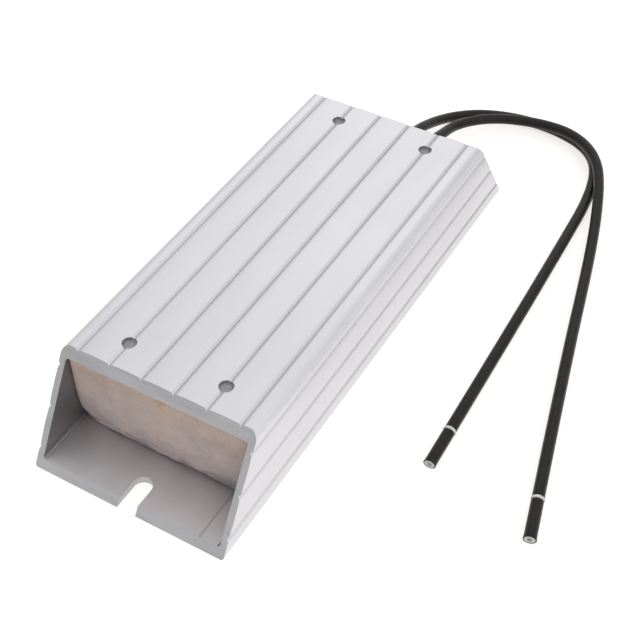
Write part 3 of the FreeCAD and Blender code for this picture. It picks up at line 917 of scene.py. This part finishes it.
def add_slot(shape, end):
    radius = SLOT_WIDTH / 2
    past_end = end * (HALF_LENGTH + CUTTER_REACH)
    arc = [math.pi * step / ARC_STEPS for step in range(ARC_STEPS + 1)]
    outline = [(radius * math.cos(a), end * (SLOT_PLACE - radius * math.sin(a))) for a in arc]
    outline += [(-radius, past_end), (radius, past_end)]
    bottom = shape.faces.new([shape.verts.new((x, y, -CUTTER_REACH)) for x, y in outline])
    top = bmesh.ops.extrude_face_region(shape, geom=[bottom], use_keep_orig=True)
    raised = [item for item in top["geom"] if isinstance(item, bmesh.types.BMVert)]
    bmesh.ops.translate(shape, verts=raised, vec=(0, 0, BASE_WALL + 1.5 * CUTTER_REACH))
    bmesh.ops.recalc_face_normals(shape, faces=shape.faces)


def make_cutter():
    shape = bmesh.new()
    foot = HEIGHT - TOP_WALL - CUTTER_REACH / 4
    for x, y in HOLES:
        add_rod(shape, (x, y, foot), HEIGHT + CUTTER_REACH - foot, HOLE)
    for end in (-1, 1):
        add_slot(shape, end)
    return put_in_scene("cutter", mesh_of("cutter", shape))


def cut_away(shape, cutter):
    """Subtracts a cutter from a bmesh and gives back the result as a new bmesh."""
    uncut = put_in_scene("uncut", mesh_of("uncut", shape))
    difference = uncut.modifiers.new("difference", "BOOLEAN")
    difference.operation = "DIFFERENCE"
    difference.solver = "EXACT"
    difference.object = cutter
    depsgraph = bpy.context.evaluated_depsgraph_get()
    result = bmesh.new()
    result.from_mesh(uncut.evaluated_get(depsgraph).to_mesh())
    bpy.data.objects.remove(uncut)
    bpy.data.objects.remove(cutter)
    return result


profile = cut_away(profile, make_cutter())
bmesh.ops.remove_doubles(profile, verts=profile.verts, dist=NEAR)
open_edges = sum(edge.is_boundary for edge in profile.edges)
print(f"cut profile: {len(profile.faces)} faces, {open_edges} open edges")

# %% [markdown]
# Rims and finishes
#
# The sawn faces and the walls of the slots and holes get the sawn finish, the cavity gets the
# inner ones, the grooves their own, and everything else the outer one. The inner and groove
# finishes are darker copies of the outer metal: painted shade. The walls of a groove are only a
# pixel or two wide, so their long edges are marked sharp: a light wall and a dark wall then stay
# apart instead of melting into one grey.
#
# A face is known by where its middle lies and by which way it looks, so a few short
# questions are enough to tell which finish it gets.

# %% Tell the faces apart
GROOVE_SLOPE = 0.15
WALL_SLOPE = 0.05


def on_sawn_end(face):
    centre = face.calc_center_median()
    for end in (1, -1):
        away = (centre - Vector((0, end * HALF_LENGTH, 0))).dot(end_normal(end))
        if abs(away) < 2 * RIM_BREAK and face.normal.dot(end_normal(end)) > FACING:
            return True
    return False


def in_cut(face):
    """Whether a face is the wall of a slot or of a hole."""
    centre = face.calc_center_median()
    in_hole = any(math.hypot(centre.x - x, centre.y - y) < HOLE / 2 + RIM_BREAK for x, y in HOLES)
    in_slot = (abs(centre.x) < SLOT_WIDTH / 2 + RIM_BREAK and centre.z < BASE_WALL
               and abs(centre.y) > SLOT_PLACE - SLOT_WIDTH / 2 - RIM_BREAK)
    return (in_hole or in_slot) and abs(face.normal.z) < FACING


def in_cavity(face):
    centre = face.calc_center_median()
    margin = RIM_BREAK / 2
    return (abs(centre.x) < HALF_WIDTH - SIDE_WALL + margin
            and BASE_WALL - margin < centre.z < HEIGHT - TOP_WALL + margin)


def in_groove(face):
    """Whether a face is a wall or a bevel of a groove."""
    centre, normal = face.calc_center_median(), face.normal
    on_top = (HEIGHT - centre.z, abs(normal.x), centre.x, TOP_GROOVES)
    on_flank = (HALF_WIDTH - abs(centre.x), abs(normal.z), centre.z, FLANK_GROOVES)
    return any(
        depth < 2 * GROOVE_DEPTH and slope > GROOVE_SLOPE
        and min(abs(place - groove) for groove in grooves) < GROOVE_MOUTH / 2
        for depth, slope, place, grooves in (on_top, on_flank))


def finish_of(face):
    if on_sawn_end(face) or in_cut(face):
        return sawn_aluminium
    # The cavity walls and floor get darker copies of the metal, as painted shade.
    if in_cavity(face):
        return wall_painted_shade_aluminium if abs(face.normal.x) > WALL_SLOPE else inner_painted_shade_aluminium
    # The grooves get a darker copy of the metal, as painted shade.
    return groove_painted_shade_aluminium if in_groove(face) else anodised_aluminium


print(f"slots and holes: {sum(in_cut(face) for face in profile.faces)} faces of their walls")

# %% Break the rims and share out the finishes
BREAK_ANGLE = math.radians(50)
GROOVE_ANGLE = math.radians(12)
LONG_EDGE = 0.02


def make_housing(shape):
    sharp = [e for e in shape.edges if len(e.link_faces) == 2 and e.is_convex
             and e.calc_face_angle() > BREAK_ANGLE]
    bmesh.ops.bevel(shape, geom=sharp, offset=RIM_BREAK, segments=2, profile=0.5,
                    affect="EDGES", material=-1)
    finishes = [anodised_aluminium, sawn_aluminium, inner_painted_shade_aluminium, wall_painted_shade_aluminium,
                groove_painted_shade_aluminium]
    for face in shape.faces:
        face.material_index = finishes.index(finish_of(face))
    lengthways = [e for e in shape.edges if abs(e.verts[0].co.y - e.verts[1].co.y) > LONG_EDGE]
    mark_sharp(lengthways, GROOVE_ANGLE)
    print(f"housing: {len(shape.faces)} faces, {len(sharp)} rims broken")
    piece = finish_piece("housing_profile", shape, finishes,
                         flat_faces=True)
    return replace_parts(piece, "housing")


make_housing(profile)

# %% [markdown]
# The cement seals
#
# The cement was poured in and smoothed by hand, so its face is not flat: it swells a little
# in the middle, has shallow hollows, and has shrunk back from the metal along its edges,
# most of all at its foot and in its lower left corner. A fine grid is the start. Its
# vertices are moved by a formula, its edge is pulled back into the housing to give it depth,
# and the rear one has a passage cut for each lead, with a low collar round it.

# %% Cast the seals
GRID_STEP = 0.0004
SWELL = 0.0004
SHRINK = 0.0005
SHRINK_REACH = 0.0005
FOOT_SHRINK = 0.0009
FOOT_REACH = 0.0006
CORNER_SHRINK = 0.0026
CORNER_REACH = 0.0026
COLLAR = 0.0006
COLLAR_REACH = 0.0012
HOLLOWS = [(0.00035, 90, 110, 1.7), (0.00012, 420, 420, 5.1), (0.00004, 1500, 1500, 9.3)]


def cement_height(x, z, low, high, passages):
    """How far the cement's face stands out at a place."""
    to_edge = min(x - low.x, high.x - x, high.z - z)
    across = 2 * (x - low.x) / (high.x - low.x) - 1
    up = 2 * (z - low.z) / (high.z - low.z) - 1
    height = SWELL * (1 - across ** 4) * (1 - up ** 2)
    for depth, grain_across, grain_up, layer in HOLLOWS:
        height += depth * noise.noise(Vector((x * grain_across, layer, z * grain_up)))
    height -= SHRINK * math.exp(-to_edge / SHRINK_REACH)
    height -= FOOT_SHRINK * math.exp(-(z - low.z) / FOOT_REACH)
    height -= CORNER_SHRINK * math.exp(-math.hypot(x - low.x, z - low.z) / CORNER_REACH)
    for passage in passages:
        from_lead = max(0.0, math.hypot(x - passage, z - LEAD_HEIGHT) - JACKET / 2)
        height += COLLAR * math.exp(-from_lead / COLLAR_REACH)
    return height


def make_passage_cutter(low, high, passages):
    """A rod as thick as the jacket for each lead."""
    shape = bmesh.new()
    thick = high.y - low.y
    for passage in passages:
        rod = add_rod(shape, (0, 0, -thick), 2 * thick, JACKET)
        place = Matrix.Translation((passage, high.y, LEAD_HEIGHT))
        turn = Matrix.Rotation(math.pi / 2, 4, "X")
        bmesh.ops.transform(shape, matrix=place @ turn, verts=rod)
    return put_in_scene("passage_cutter", mesh_of("passage_cutter", shape))


def make_seal(name, node, end, passages=()):
    low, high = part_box(node)
    face, back = (high.y, low.y) if end > 0 else (low.y, high.y)
    width = high.x - low.x
    tall = high.z - low.z
    middle = (low.z + high.z) / 2
    shape = bmesh.new()
    bmesh.ops.create_grid(shape, x_segments=round(width / GRID_STEP),
                          y_segments=round(tall / GRID_STEP), size=0.5)
    upright = Matrix(((width, 0, 0, 0), (0, 0, 1, face), (0, tall, 0, middle), (0, 0, 0, 1)))
    bmesh.ops.transform(shape, matrix=upright, verts=shape.verts)
    rim = [e for e in shape.edges if e.is_boundary]
    for vert in shape.verts:
        vert.co.y += end * cement_height(vert.co.x, vert.co.z, low, high, passages)
    walls = bmesh.ops.extrude_edge_only(shape, edges=rim)
    for item in walls["geom"]:
        if isinstance(item, bmesh.types.BMVert):
            item.co.y = back
    bmesh.ops.contextual_create(shape, geom=[e for e in shape.edges if e.is_boundary])
    bmesh.ops.recalc_face_normals(shape, faces=shape.faces)
    if passages:
        shape = cut_away(shape, make_passage_cutter(low, high, passages))
    piece = finish_piece(name, shape, [cement])
    print(f"{name}: {len(piece.data.polygons)} faces")
    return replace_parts(piece, node)


make_seal("front_seal_cement", "front_seal", -1)
make_seal("rear_seal_cement", "rear_seal", 1, (-LEAD_SPREAD, LEAD_SPREAD))

# %% [markdown]
# Cement in the holes
#
# The cement also rose a little way into the four holes of the top wall, so each hole ends about a
# millimetre down, on a small dished plug. Its rim is painted darker, as painted shade from the
# wall of the hole. The dish is written as shares of the plug's radius, each with its depth.

# %% Plug the holes
PLUG_TOP = 0.0289
PLUG_DISH = [(1.0, 0.0), (0.9, 0.00012), (0.7, 0.00022), (0.4, 0.0003), (0.0, 0.00033)]
RIM_SHADE_REACH = 0.0015


def make_plug(name, x, y):
    base = HEIGHT - TOP_WALL
    radius = HOLE / 2 - HAIR
    dish = [(share * radius, PLUG_TOP - depth) for share, depth in PLUG_DISH]
    plug = turned([(0.0, base), (radius, base)] + dish)
    # Faces near the rim get the darker cement: painted shade where the wall of the hole shades the
    # plug.
    for face in plug.faces:
        face.material_index = 1 if face.calc_center_median().xy.length > RIM_SHADE_REACH else 0
    bmesh.ops.translate(plug, verts=plug.verts, vec=(x, y, 0))
    return finish_piece(name, plug, [smooth_cement, painted_rim_shade_cement])


for end, y in (("front", -HOLE_ALONG), ("rear", HOLE_ALONG)):
    for side, x in (("left", -HOLE_ACROSS), ("right", HOLE_ACROSS)):
        plug = make_plug(f"{end}_{side}_plug", x, y)
        print(f"{plug.name}: {(HEIGHT - PLUG_TOP) / MM:.1f} mm down")

# %% [markdown]
# What lies inside
#
# The sand, the mica, the windings and the terminals have the right shapes already, so they
# stay as they are and only get a finish.

# %% Finish the inner pieces
INNER_FINISHES = {
    sand: ["sand_filling"],
    mica: ["upper_mica_sheet", "lower_mica_sheet", "left_spacer_strip", "right_spacer_strip",
           "centre_spacer_strip", "left_former", "right_former"],
    resistance_ribbon: ["left_winding", "right_winding", "bridge_strip"],
    terminal_brass: ["left_terminal", "right_terminal"],
}
for finish, names in INNER_FINISHES.items():
    for name in names:
        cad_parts[name].data.materials.clear()
        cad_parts[name].data.materials.append(finish)
    print(f"{finish.name}: {', '.join(names)}")

# %% [markdown]
# The table
#
# Satin metal shows its surroundings, so the surroundings are made with care. The table is
# white. It glows a little towards the camera and the reflections, so it reads as white
# paper while it still takes the object's shadow. Its glow is slightly warm, which shows on
# the flank.

# %% Lay the table
TABLE_SIZE = 4.0
TABLE_PAPER = 0.42
TABLE_GLOW = 0.73
GLOW_COLOUR = (1.0, 0.98, 0.95, 1.0)


def arithmetic(finish, operation, first, second, clamp=False):
    node = add_node(finish, "ShaderNodeMath", operation=operation, use_clamp=clamp)
    for target, value in zip(node.inputs, (first, second)):
        feed(finish, value, target)
    return node.outputs[0]


def make_table_finish():
    finish = bpy.data.materials.new("table_white")
    finish.use_nodes = True
    finish.node_tree.nodes.clear()
    paper = add_node(finish, "ShaderNodeBsdfDiffuse")
    paper.inputs["Color"].default_value = (TABLE_PAPER, TABLE_PAPER, TABLE_PAPER, 1.0)
    rays = add_node(finish, "ShaderNodeLightPath").outputs
    seen = arithmetic(finish, "ADD", rays["Is Camera Ray"], rays["Is Glossy Ray"])
    shown = arithmetic(finish, "ADD", seen, rays["Is Transmission Ray"], clamp=True)
    glow = add_node(finish, "ShaderNodeEmission")
    glow.inputs["Color"].default_value = GLOW_COLOUR
    wire(finish, arithmetic(finish, "MULTIPLY", shown, TABLE_GLOW), glow.inputs["Strength"])
    both = add_node(finish, "ShaderNodeAddShader")
    wire(finish, paper.outputs[0], both.inputs[0])
    wire(finish, glow.outputs[0], both.inputs[1])
    output = add_node(finish, "ShaderNodeOutputMaterial")
    wire(finish, both.outputs[0], output.inputs["Surface"])
    return finish


def make_table():
    shape = bmesh.new()
    bmesh.ops.create_grid(shape, x_segments=1, y_segments=1, size=TABLE_SIZE / 2)
    table = put_in_scene("table", mesh_of("table", shape))
    table.data.materials.append(make_table_finish())


make_table()
print(f"table: {TABLE_SIZE:.0f} m square")

# %% [markdown]
# The light
#
# The sky is a soft gradient, pale overhead and a shade darker towards the horizon, which
# gives the rounded corner its grey band. It is written as stops from straight down to
# straight up. Two soft lamps, aimed at the origin, add direction.

# %% Hang the sky and the lamps
SKY = [(0.0, (0.80, 0.80, 0.80, 1.0)), (0.5, (0.60, 0.60, 0.59, 1.0)),
       (0.58, (0.69, 0.69, 0.685, 1.0)), (0.66, (0.735, 0.73, 0.735, 1.0)),
       (0.85, (0.90, 0.895, 0.91, 1.0)), (1.0, (0.99, 0.98, 1.0, 1.0))]


def make_sky():
    world = bpy.data.worlds.new("studio")
    bpy.context.scene.world = world
    world.use_nodes = True
    shades = ramp(world, ruler(world, "Z", -1.0, 1.0, space="Generated"), SKY)
    wire(world, shades, world.node_tree.nodes["Background"].inputs["Color"])


def add_lamp(name, place, size, watts, colour):
    lamp = put_in_scene(name, bpy.data.lights.new(name, "AREA"))
    lamp.data.shape = "SQUARE"
    lamp.data.size = size
    lamp.data.energy = watts
    lamp.data.color = colour
    lamp.location = place
    lamp.rotation_mode = "QUATERNION"
    lamp.rotation_quaternion = (-Vector(place)).to_track_quat("-Z", "Y")


make_sky()
add_lamp("back_lamp", (-0.35, 1.0, 0.65), 0.8, 0.8, (1.0, 1.0, 1.0))
add_lamp("right_lamp", (0.9, -0.2, 0.55), 1.3, 3.0, (1.0, 0.94, 0.87))
bpy.context.scene.view_settings.view_transform = "Standard"
print("light: a gradient sky and two lamps")
